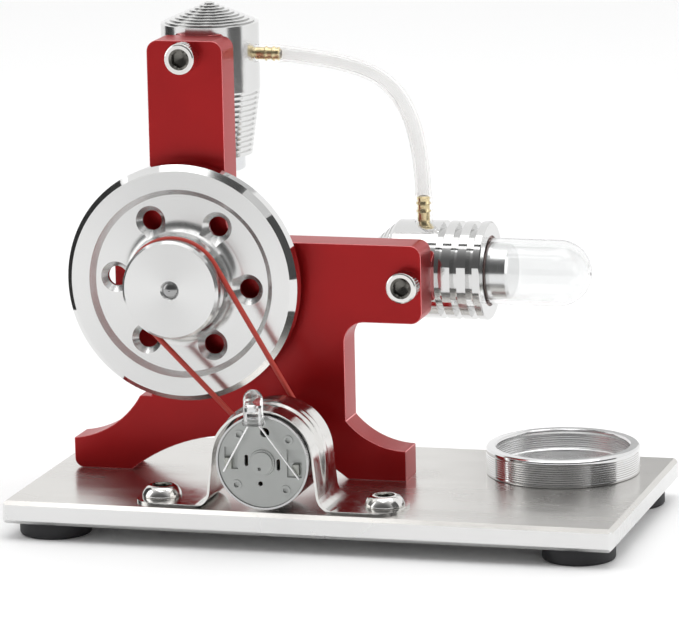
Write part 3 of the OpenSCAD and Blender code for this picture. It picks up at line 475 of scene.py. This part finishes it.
def make_materials():
    """Every material, by its slot in the record or its piece."""
    return {
        "base_steel": brushed_plate(),
        "feet_rubber": rubber("feet_rubber", (0.018, 0.018, 0.02), 0.62),
        "screw_steel": polished_metal("screw_steel", (0.74, 0.73, 0.71), 0.12, 0.05),
        # Also used on the faces inside the bright screws' sockets: painted shade in the recesses.
        "socket_steel": polished_metal("socket_steel", (0.16, 0.155, 0.14), 0.3, 0.05),
        "frame_red": red_anodised("frame_red", (0.43, 0.008, 0.010), 0.42),
        # A pale pink copy of the frame's red for its bevel faces: a painted highlight along every
        # edge.
        "frame_edge_highlight": red_anodised("frame_edge_highlight", (0.95, 0.26, 0.27), 0.22),
        "bearing_steel": polished_metal("bearing_steel", (0.66, 0.67, 0.69), 0.15),
        "shaft_steel": turned_metal("shaft_steel", "Y", (0.36, 0.36, 0.36), 0.18, 0.3),
        "flywheel_aluminium": turned_disc(
            "flywheel_aluminium", "flywheel", (0.72, 0.72, 0.715), [FLYWHEEL_POLISH_MM]
        ),
        "grub_steel": polished_metal("grub_steel", (0.1, 0.1, 0.1), 0.3),
        "crank_aluminium": turned_disc("crank_aluminium", "crank_disc", (0.78, 0.78, 0.79), []),
        "rod_aluminium": polished_metal("rod_aluminium", (0.76, 0.76, 0.77), 0.25),
        "rod_steel": turned_metal("rod_steel", "X", (0.66, 0.66, 0.67), 0.12, 0.4),
        "piston_graphite": turned_metal("piston_graphite", "Z", (0.3, 0.3, 0.31), 0.25, 0.5),
        "displacer_aluminium": turned_metal("displacer_aluminium", "X", (0.8, 0.8, 0.8), 0.16, 0.5),
        "cylinder_upright": turned_metal("cylinder_upright", "Z", (0.72, 0.72, 0.715), 0.15, 0.4),
        "cylinder_level": turned_metal("cylinder_level", "X", (0.68, 0.68, 0.675), 0.08, 0.4),
        "liner_steel": turned_metal("liner_steel", "Z", (0.7, 0.71, 0.72), 0.14, 0.5),
        "gland_brass": turned_metal("gland_brass", "X", (0.78, 0.56, 0.24), 0.2, 0.5),
        "tube_glass": glass(),
        "seal_silicone": rubber("seal_silicone", (0.42, 0.27, 0.25), 0.45),
        "nipple_brass": polished_metal("nipple_brass", (0.72, 0.60, 0.36), 0.26),
        "hose_silicone": silicone(),
        "belt_rubber": rubber("belt_rubber", (0.48, 0.045, 0.03), 0.42),
        "can_steel": polished_metal("can_steel", (0.52, 0.52, 0.52), 0.2, 0.05),
        "cap_zinc": cast_metal("cap_zinc", (0.44, 0.452, 0.44), 0.42),
        "terminal_tin": polished_metal("terminal_tin", (0.40, 0.41, 0.38), 0.35),
        "magnet_ferrite": cast_metal("magnet_ferrite", (0.06, 0.06, 0.065), 0.6),
        "armature_copper": copper_windings(),
        "pulley_aluminium": turned_metal("pulley_aluminium", "Y", (0.82, 0.82, 0.82), 0.14, 0.5),
        "led_clear": clear("led_clear", (1, 1, 1), 0.0, 1.5).material,
        "leg_tin": polished_metal("leg_tin", (0.93, 0.93, 0.93), 0.3, 0.05),
        "strap_steel": polished_metal("strap_steel", (0.72, 0.71, 0.69), 0.16, 0.12),
        # A much lighter copy of the seat's aluminium for the inside of the bore: painted light
        # where the overhead light falls in.
        "seat_inside_lit": turned_metal("seat_inside_lit", "Z", (0.96, 0.96, 0.96), 0.22, 0.9),
        "seat_aluminium": turned_metal("seat_aluminium", "Z", (0.74, 0.74, 0.74), 0.1, 0.4),
    }


# Nodes that share a slot with others but have a finish of their own
SPLIT_SLOTS = {"power_cylinder": "cylinder_upright", "displacer_cylinder": "cylinder_level"}


def paint_nodes(materials):
    """Gives each CAD node the material of its slot."""
    slots = {s["node"]: s["material_slot"] for s in frame["record"]["subparts"]}
    for name, obj in NODES.items():
        material = materials[SPLIT_SLOTS.get(name, slots[name])]
        obj.data.materials.clear()
        obj.data.materials.append(material)


# ---------------------------------------------------------------- edges of CAD nodes

def soften(node, width, segments=2, lit_bevel_material=None):
    """Breaks a node's sharp edges, so that they catch the light as machined edges do. A second
    material, if given, goes on the bevel faces as a painted highlight.
    """
    obj = NODES[node]
    weld = obj.modifiers.new("weld", "WELD")
    weld.merge_threshold = 1e-6
    plane = obj.modifiers.new("plane", "DECIMATE")
    plane.decimate_type = "DISSOLVE"
    plane.angle_limit = math.radians(0.3)
    bevel = obj.modifiers.new("bevel", "BEVEL")
    bevel.width = width
    bevel.segments = segments
    bevel.limit_method = "ANGLE"
    bevel.angle_limit = math.radians(34)
    bevel.use_clamp_overlap = True
    if lit_bevel_material:
        obj.data.materials.append(lit_bevel_material)
        bevel.material = 1
    normals = obj.modifiers.new("normals", "WEIGHTED_NORMAL")
    normals.keep_sharp = False
    obj.data.shade_smooth()


# ---------------------------------------------------------------- hose

def make_hose(material):
    """A thin-walled silicone hose pushed over both nipples up to the cylinders' walls."""
    y = middle("upper_nipple").y
    route = [Vector((x, y, z)) for x, z in HOSE_ROUTE]
    start = route[0] - Vector((NIPPLE_LENGTH, 0, 0))
    end = route[-1] - Vector((0, 0, NIPPLE_LENGTH))
    route = [start, (start + route[0]) / 2] + route + [(route[-1] + end) / 2, end]
    path = smooth_path(route, 8)
    total = length_of(path)
    outer, inner = [], []
    travelled = 0
    for i, point in enumerate(path):
        if i:
            travelled += (point - path[i - 1]).length
        from_end = min(travelled, total - travelled)
        swell = HOSE_SWELL / (1 + math.exp((from_end - NIPPLE_LENGTH) / (0.5 * MM)))
        lip = -HOSE_LIP if from_end < 0.05 * MM else 0
        outer.append(HOSE_RADIUS + swell + lip)
        inner.append(HOSE_BORE + swell * 1.5)
    verts, faces = tube_mesh(path, outer, HOSE_SIDES)
    bore_verts, bore_faces = tube_mesh(path, inner, HOSE_SIDES)
    offset = len(verts)
    add_shape(verts, faces, (bore_verts, [face[::-1] for face in bore_faces]))
    last = (len(path) - 1) * HOSE_SIDES
    for k in range(HOSE_SIDES):
        n = (k + 1) % HOSE_SIDES
        faces.append((k, offset + k, offset + n, n))
        faces.append((last + k, last + n, offset + last + n, offset + last + k))
    hose = finish_mesh(
        "silicone_hose", verts, faces, material, "chassis", 50
    )
    [tuple(p) for p in path]
    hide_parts("air_hose")


# ---------------------------------------------------------------- belt

BELT_RADIUS = 0.7 * MM
HUB_BELT_RADIUS = 12.7 * MM
PULLEY_BELT_RADIUS = 6.5 * MM


def make_belt(material):
    """A round belt: two arcs and two straight runs, in the plane of its CAD node."""
    y = middle("drive_belt").y
    hub, pulley = middle("flywheel"), middle("generator_pulley")
    hub.y = pulley.y = y
    run = pulley - hub
    heading = math.atan2(run.z, run.x)
    contact = math.acos((HUB_BELT_RADIUS - PULLEY_BELT_RADIUS) / run.length)
    path = []
    for centre, radius, first, sweep, steps in (
        (hub, HUB_BELT_RADIUS, contact, 2 * math.pi - 2 * contact, 96),
        (pulley, PULLEY_BELT_RADIUS, -contact, 2 * contact, 48),
    ):
        for i in range(steps + 1):
            angle = heading + first + sweep * i / steps
            path.append(centre + radius * Vector((math.cos(angle), 0, math.sin(angle))))
    verts, faces = tube_mesh(path, [BELT_RADIUS] * len(path), 20, closed=True)
    belt = finish_mesh("round_belt", verts, faces, material, "chassis", 60)
    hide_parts("drive_belt")


# ---------------------------------------------------------------- the strap's sizes

STRAP_SHEET = 0.6 * MM
STRAP_HOOP = 13.4 * MM
STRAP_LEAN = math.radians(6)
STRAP_BEND = 4.3 * MM
STRAP_BEND_X = 18.607 * MM
STRAP_BEND_Z = -7.7 * MM
STRAP_REACH = 35.2 * MM
STRAP_CORNER = 6.5 * MM
STRAP_SCREW_X = 29.6 * MM
STRAP_HOLE_RADIUS = 3.2 * MM
STRAP_COLUMNS = 28
RIB_HEIGHT = 0.7 * MM
RIB_HALF_WIDTH = 3.6 * MM


# ---------------------------------------------------------------- screws

def hexagon(across_flats):
    """Radius of a hexagon as a function of angle."""
    def radius(angle):
        return across_flats / 2 / math.cos((angle + math.pi / 6) % (math.pi / 3) - math.pi / 6)
    return radius


def knurl(radius, depth, teeth):
    """Radius of a ridged round as a function of angle."""
    return lambda angle: radius - depth * (0.5 + 0.5 * math.cos(teeth * angle))


SCREW_STEPS = 192
SOCKET_FLATS = 4 * MM
CAP_SOCKET_RADIUS = 2.75 * MM
BUTTON_SOCKET_RADIUS = 2.6 * MM


def socket_rings(flats, rim_radius, top, depth):
    """From the top face into a chamfered hexagon socket with a drilled bottom."""
    hexa = hexagon(flats)
    return [
        (rim_radius, top), (rim_radius - 0.06 * MM, top - 0.04 * MM),
        (lambda a: max(hexa(a), flats * 0.53), top - 0.35 * MM),
        (hexa, top - 0.5 * MM), (hexa, top - depth),
        (flats * 0.42, top - depth - 0.05 * MM), (0.1 * MM, top - depth - 0.8 * MM),
    ]


def cap_head(radius, height, flats):
    """A socket cap screw's head: knurled side, broken edges, hexagon socket."""
    side = knurl(radius, 0.16 * MM, 36)
    return [
        (radius - 0.35 * MM, 0), (radius - 0.2 * MM, 0.15 * MM), (radius - 0.12 * MM, 0.5 * MM),
        (side, 0.6 * MM), (side, height - 0.95 * MM),
        (radius - 0.05 * MM, height - 0.8 * MM), (radius - 0.05 * MM, height - 0.5 * MM),
        (radius - 0.2 * MM, height - 0.17 * MM), (radius - 0.5 * MM, height),
    ] + socket_rings(flats, CAP_SOCKET_RADIUS, height, 2.4 * MM)


def button_head(radius, height, flats):
    """A domed head with a thin straight edge and a hexagon socket."""
    rings = [(radius - 0.1 * MM, 0), (radius, 0.1 * MM), (radius, 0.45 * MM)]
    crown = 2.9 * MM
    steps = 12
    for i in range(steps + 1):
        t = i / steps
        r = crown + (radius - 0.1 * MM - crown) * (1 - t)
        rise = 1 - ((r - crown) / (radius - crown)) ** 2.1
        rings.append((r, 0.5 * MM + (height - 0.5 * MM) * rise ** 0.8))
    return rings + socket_rings(flats, BUTTON_SOCKET_RADIUS, height, 1.9 * MM)


def make_screws(name, node, heads, axis, rings, shank, materials):
    """Screws with modelled heads, given as rings, that stand for a CAD node of plain ones.

    shank is a radius and a length. The faces inside the sockets are painted dark: painted shade in
    the recesses."""
    radius, length = shank
    stem = [(radius - 0.3 * MM, -length), (radius, -length + 0.3 * MM), (radius, 0)]
    verts, faces = [], []
    top = max(height for _, height in rings)

    def in_socket(point):
        for head in heads:
            offset = point - head
            depth = top - offset.dot(axis)
            across = (offset - axis * offset.dot(axis)).length
            if across < CAP_SOCKET_RADIUS and 0.01 * MM < depth < top:
                return True
        return False

    for head in heads:
        place = frame_of(head, axis)
        add_shape(verts, faces, rings_mesh(stem + rings, SCREW_STEPS, place))
    # Faces inside the sockets take the dark socket steel: painted shade.
    screws = finish_mesh(
        name, verts, faces, materials["screw_steel"], "chassis", 28,
        (materials["socket_steel"], in_socket),
    )
    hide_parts(node)


def make_cylinder_screws(materials):
    """The two socket cap screws that hold the cylinders to the frame."""
    low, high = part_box("cylinder_screws")
    head_radius, head_height = 4.1 * MM, 4.7 * MM
    face = low.y + head_height
    heads = [Vector((low.x + head_radius, face, high.z - head_radius)),
             Vector((high.x - head_radius, face, low.z + head_radius))]
    rings = cap_head(head_radius, head_height, SOCKET_FLATS)
    shank = (2.45 * MM, high.y - face)
    make_screws("cap_screws", "cylinder_screws", heads, FRONT, rings, shank, materials)


def make_strap_screws(materials):
    """The two button-head screws that hold the strap down."""
    low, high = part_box("strap_screws")
    head_radius, head_height = 5.1 * MM, 2.8 * MM
    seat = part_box("base_plate")[1].z + STRAP_SHEET
    y = (low.y + high.y) / 2
    heads = [Vector((x, y, seat)) for x in (low.x + head_radius, high.x - head_radius)]
    rings = button_head(head_radius, head_height, SOCKET_FLATS)
    shank = (2.9 * MM, seat - low.z)
    make_screws("button_screws", "strap_screws", heads, UP, rings, shank, materials)


# ---------------------------------------------------------------- strap

def strap_half():
    """Half of the sheet's middle line, from the top of the hoop to the tab's end.

    Each point is (x, z, rib), where rib says how much of the rib's height there is."""
    points = []
    for i in range(33):
        angle = math.pi / 2 - (math.pi / 2 - STRAP_LEAN) * i / 32
        points.append((STRAP_HOOP * math.cos(angle), STRAP_HOOP * math.sin(angle), 1))
    x0, z0, _ = points[-1]
    x1 = STRAP_BEND_X - STRAP_BEND * math.cos(STRAP_LEAN)
    z1 = STRAP_BEND_Z - STRAP_BEND * math.sin(STRAP_LEAN)
    for i in range(1, 12):
        t = i / 12
        points.append((x0 + (x1 - x0) * t, z0 + (z1 - z0) * t, 0.5 + 0.5 * math.cos(math.pi * t)))
    for i in range(13):
        angle = math.pi + STRAP_LEAN + (math.pi / 2 - STRAP_LEAN) * i / 12
        x = STRAP_BEND_X + STRAP_BEND * math.cos(angle)
        z = STRAP_BEND_Z + STRAP_BEND * math.sin(angle)
        points.append((x, z, 0))
    tab_z = STRAP_BEND_Z - STRAP_BEND
    corner_x = STRAP_REACH - STRAP_CORNER
    for i in range(1, 9):
        points.append((STRAP_BEND_X + (corner_x - STRAP_BEND_X) * i / 8, tab_z, 0))
    for i in range(1, 17):
        points.append((corner_x + STRAP_CORNER * math.sin(math.pi / 2 * i / 16), tab_z, 0))
    return points


def cut_with(obj, verts, faces):
    """Cuts a closed shape out of a piece."""
    cutter = new_object("cutter", new_mesh("cutter", verts, faces))
    cut = obj.modifiers.new("cut", "BOOLEAN")
    cut.operation = "DIFFERENCE"
    cut.solver = "EXACT"
    cut.object = cutter
    graph = bpy.context.evaluated_depsgraph_get()
    result = bpy.data.meshes.new_from_object(obj.evaluated_get(graph))
    obj.modifiers.remove(cut)
    obj.data = result
    bpy.data.objects.remove(cutter)


def make_strap(material):
    """The bent sheet over the generator, with a rib pressed along its hoop."""
    low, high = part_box("generator_strap")
    centre = (low + high) / 2
    centre.z = high.z - STRAP_HOOP - STRAP_SHEET / 2
    half = strap_half()
    line = [(-x, z, rib) for x, z, rib in reversed(half[1:])] + half
    half_width = (high.y - low.y) / 2
    columns = STRAP_COLUMNS
    verts, faces = [], []
    for i, (x, z, rib) in enumerate(line):
        bx, bz, _ = line[max(i - 1, 0)]
        ax, az, _ = line[min(i + 1, len(line) - 1)]
        along = Vector((ax - bx, 0, az - bz)).normalized()
        out = Vector((-along.z, 0, along.x))
        past_corner = max(abs(x) - (STRAP_REACH - STRAP_CORNER), 0)
        width = half_width - STRAP_CORNER + math.sqrt(max(STRAP_CORNER ** 2 - past_corner ** 2, 0))
        for side in (1, -1):
            for j in range(columns + 1):
                y = width * (2 * j / columns - 1)
                crest = 0.5 + 0.5 * math.cos(math.pi * min(abs(y) / RIB_HALF_WIDTH, 1))
                lift = RIB_HEIGHT * rib * min(1.6 * crest, 1) + side * STRAP_SHEET / 2
                verts.append(centre + Vector((x, y, z)) + out * lift)
    row = 2 * (columns + 1)
    for i in range(len(line) - 1):
        a, b = i * row, (i + 1) * row
        for j in range(columns):
            faces.append((a + j, a + j + 1, b + j + 1, b + j))
            k = columns + 1 + j
            faces.append((a + k + 1, a + k, b + k, b + k + 1))
        for j, k in ((0, columns + 1), (columns, 2 * columns + 1)):
            faces.append((a + j, b + j, b + k, a + k) if j else (a + j, a + k, b + k, b + j))
    for i in (0, len(line) - 1):
        a = i * row
        for j in range(columns):
            faces.append((a + j, a + j + 1, a + columns + 2 + j, a + columns + 1 + j))
    strap = finish_mesh("ribbed_strap", verts, faces, material, "chassis", 40)
    hole = [(STRAP_HOLE_RADIUS, -2 * MM), (STRAP_HOLE_RADIUS, 2 * MM)]
    for side in (-1, 1):
        foot = centre + Vector((side * STRAP_SCREW_X, 0, STRAP_BEND_Z - STRAP_BEND))
        cut_with(strap, *rings_mesh(hole, 48, frame_of(foot, UP)))
    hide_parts("generator_strap")


# ---------------------------------------------------------------- lamp

POST_PITCH = 1.27 * MM
POST_HALF = 0.22 * MM


def make_lamp_inside(material):
    """The two posts inside the lamp: one with the cup that holds the chip, one with its wire."""
    low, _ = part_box("led")
    centre = middle("led")
    foot = low.z - 0.05 * MM
    verts, faces = [], []

    def add_box(x0, x1, z0, z1):
        corners = ((x0, -POST_HALF), (x1, -POST_HALF), (x1, POST_HALF), (x0, POST_HALF))
        points = [
            Vector((centre.x + x, centre.y + y, foot + z))
            for z in (z0, z1) for x, y in corners
        ]
        sides = [(3, 2, 1, 0), (4, 5, 6, 7), (0, 1, 5, 4), (1, 2, 6, 5), (2, 3, 7, 6), (3, 0, 4, 7)]
        add_shape(verts, faces, (points, sides))

    add_box(-POST_PITCH - POST_HALF, -POST_PITCH + POST_HALF, 0.1 * MM, 4.4 * MM)
    add_box(-POST_PITCH - POST_HALF, 0.45 * MM, 3.3 * MM, 4.3 * MM)
    add_box(POST_PITCH - POST_HALF, POST_PITCH + POST_HALF, 0.1 * MM, 4.9 * MM)
    add_box(0.62 * MM, POST_PITCH + POST_HALF, 4.3 * MM, 4.9 * MM)
    cup = [
        (0.5 * MM, 4.2 * MM), (0.85 * MM, 4.4 * MM), (0.95 * MM, 5.0 * MM),
        (0.85 * MM, 5.0 * MM), (0.4 * MM, 4.6 * MM), (0.01 * MM, 4.6 * MM),
    ]
    place = frame_of(Vector((centre.x - 0.45 * MM, centre.y, foot)), UP)
    add_shape(verts, faces, rings_mesh(cup, 48, place))
    finish_mesh("lamp_posts", verts, faces, material, "chassis", 30)


# ---------------------------------------------------------------- burner seat

SEAT_BORE_RADIUS = 17.2 * MM
SEAT_FLOOR = 1.8 * MM
SEAT_GROOVE_PITCH = 0.58 * MM


def turned_grooves(radius, start, count, depth):
    """Rings of evenly spaced V grooves, cut into a round by a negative depth."""
    rings = []
    reach = 0.42 * SEAT_GROOVE_PITCH
    for i in range(count):
        z = start + i * SEAT_GROOVE_PITCH
        rings += [(radius, z - reach), (radius + depth, z), (radius, z + reach)]
    return rings


def make_burner_seat(materials):
    """The seat with its fine turned grooves, outside and inside, and a broken edge all round."""
    low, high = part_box("burner_seat")
    centre = (low + high) / 2
    outer, inner = (high.x - low.x) / 2, SEAT_BORE_RADIUS
    height, floor = high.z - low.z, SEAT_FLOOR
    rings = [(outer - 0.35 * MM, 0), (outer - 0.05 * MM, 0.12 * MM), (outer, 0.25 * MM),
             (outer, 0.6 * MM)]
    rings += turned_grooves(outer, 1.0 * MM, 9, -0.09 * MM)
    rings += [(outer, height - 0.65 * MM), (outer - 0.08 * MM, height - 0.42 * MM),
              (outer - 0.42 * MM, height - 0.08 * MM), (outer - 0.6 * MM, height),
              (inner + 0.4 * MM, height), (inner + 0.06 * MM, height - 0.35 * MM),
              (inner, height - 0.5 * MM)]
    rings += reversed(turned_grooves(inner, floor + 0.7 * MM, 6, 0.06 * MM))
    rings += [(inner, floor + 0.2 * MM), (inner - 0.2 * MM, floor), (0.01 * MM, floor)]
    verts, faces = rings_mesh(rings, 256, frame_of(Vector((centre.x, centre.y, low.z)), UP))

    # Faces inside the bore take the lighter copy of the aluminium: painted light on the inner wall.
    def inside(point):
        across = math.hypot(point.x - centre.x, point.y - centre.y)
        return across < inner + 0.2 * MM and point.z > low.z + 0.5 * MM

    seat = finish_mesh(
        "burner_ring", verts, faces, materials["seat_aluminium"], "chassis", 25,
        (materials["seat_inside_lit"], inside),
    )
    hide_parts("burner_seat")


# ---------------------------------------------------------------- studio

FLOOR_REACH = 6.0
LIGHT_AIM = (0, 0, 0.06)
# Soft lights: place, size and power
SOFTBOXES = {
    "overhead_softbox": ((0.1, -0.1, 1.5), (1.6, 1.2), 8),
    "left_softbox": ((-1.5, -0.5, 0.7), (0.9, 1.3), 4),
    "right_softbox": ((1.5, -0.2, 0.6), (0.7, 1.3), 4),
}
# Dark cards: two opposite corners and a shade
CARDS = {
    "right_card": ((0.5, -0.3, 0.005), (0.5, 0.08, 0.5), 0.05),
    "left_card": ((-0.2, -0.03, 0.002), (-0.2, 0.08, 0.2), 0.02),
    "top_card": ((-0.19, -0.24, 0.7), (0.3, -0.16, 0.7), 0.02),
    "back_card": ((-0.21, 1, 0.02), (0.1, 1, 0.5), 0.7),
}


def rectangle(low, high):
    """The corners, in order, of a flat rectangle square to the axes."""
    u, v = [k for k in range(3) if low[k] != high[k]]
    corners = []
    for at_u, at_v in ((low, low), (high, low), (high, high), (low, high)):
        corner = list(low)
        corner[u], corner[v] = at_u[u], at_v[v]
        corners.append(tuple(corner))
    return corners


def make_floor():
    """A plain white floor, large enough to fill every view."""
    s = Shader("floor_paper", (0.95, 0.95, 0.95), 0.75, Specular_IOR_Level=0.15)
    s.bump(s.noise(400, detail=2), 0.02, 0.0001)
    corners = rectangle((-FLOOR_REACH, -FLOOR_REACH, 0), (FLOOR_REACH, FLOOR_REACH, 0))
    mesh = new_mesh("floor", corners, [(0, 1, 2, 3)])
    mesh.materials.append(s.material)
    floor = new_object("floor", mesh)


def area_light(name, place, size, power):
    """A rectangular soft light that faces the engine."""
    data = bpy.data.lights.new(name, "AREA")
    data.shape = "RECTANGLE"
    data.size, data.size_y = size
    data.energy = power
    light = new_object(name, data)
    light.location = place
    aim = Vector(LIGHT_AIM) - Vector(place)
    light.rotation_euler = aim.to_track_quat("-Z", "Y").to_euler()


def make_world():
    """Soft light from all round: bright behind and above, greyer towards the front."""
    world = bpy.data.worlds.new("studio")
    world.use_nodes = True
    tree = world.node_tree
    background = tree.nodes["Background"]
    background.inputs["Color"].default_value = (1, 1, 1, 1)
    coords = tree.nodes.new("ShaderNodeTexCoord")
    split = tree.nodes.new("ShaderNodeSeparateXYZ")
    tree.links.new(coords.outputs["Generated"], split.inputs["Vector"])
    ramp = tree.nodes.new("ShaderNodeMapRange")
    ramp.interpolation_type = "SMOOTHSTEP"
    fade = {"From Min": -0.85, "From Max": 0.0, "To Min": 0.12, "To Max": 1.05}
    for socket, value in fade.items():
        ramp.inputs[socket].default_value = value
    tree.links.new(split.outputs["Y"], ramp.inputs["Value"])
    tree.links.new(ramp.outputs["Result"], background.inputs["Strength"])
    bpy.context.scene.world = world


def dark_card(name, low, high, shade):
    """A card beside the object: only polished metal shows it, as dark bands."""
    s = Shader(name, (shade, shade, shade), 0.9)
    mesh = new_mesh(name, rectangle(low, high), [(0, 1, 2, 3)])
    mesh.materials.append(s.material)
    card = new_object(name, mesh)
    card.visible_camera = False
    card.visible_diffuse = False
    card.visible_transmission = False
    card.visible_shadow = False


def make_lights():
    """The cards, and then the soft lights."""
    for name, (low, high, shade) in CARDS.items():
        dark_card(name, low, high, shade)
    for name, (place, size, power) in SOFTBOXES.items():
        area_light(name, place, size, power)


# ---------------------------------------------------------------- assembly

# How wide each node's broken edges are
SOFT_EDGES_MM = {
    "displacer_cylinder": 0.1, "power_liner": 0.1, "crank_disc": 0.1,
    "power_conrod": 0.15, "displacer_conrod": 0.15,
    "generator_can": 0.08, "generator_end_cap": 0.08,
    "generator_terminals": 0.08, "generator_pulley": 0.08, "displacer_gland": 0.08,
    "displacer_rod": 0.1, "power_piston_rod": 0.1, "frame_screws": 0.06, "foot_screws": 0.06,
}
FRAME_BEVEL = 0.6 * MM


def build():
    """Makes the whole scene round the loaded frame."""
    bpy.context.scene.view_settings.view_transform = "Standard"
    make_camera()
    materials = make_materials()
    paint_nodes(materials)
    make_hose(materials["hose_silicone"])
    make_belt(materials["belt_rubber"])
    # The frame's bevel faces take the pale pink material: a painted highlight.
    soften("frame", FRAME_BEVEL, segments=1, lit_bevel_material=materials["frame_edge_highlight"])
    for node, width in SOFT_EDGES_MM.items():
        soften(node, width * MM)
    make_cylinder_screws(materials)
    make_strap_screws(materials)
    make_strap(materials["strap_steel"])
    make_lamp_inside(materials["leg_tin"])
    make_burner_seat(materials)
    make_floor()
    make_world()
    make_lights()


build()
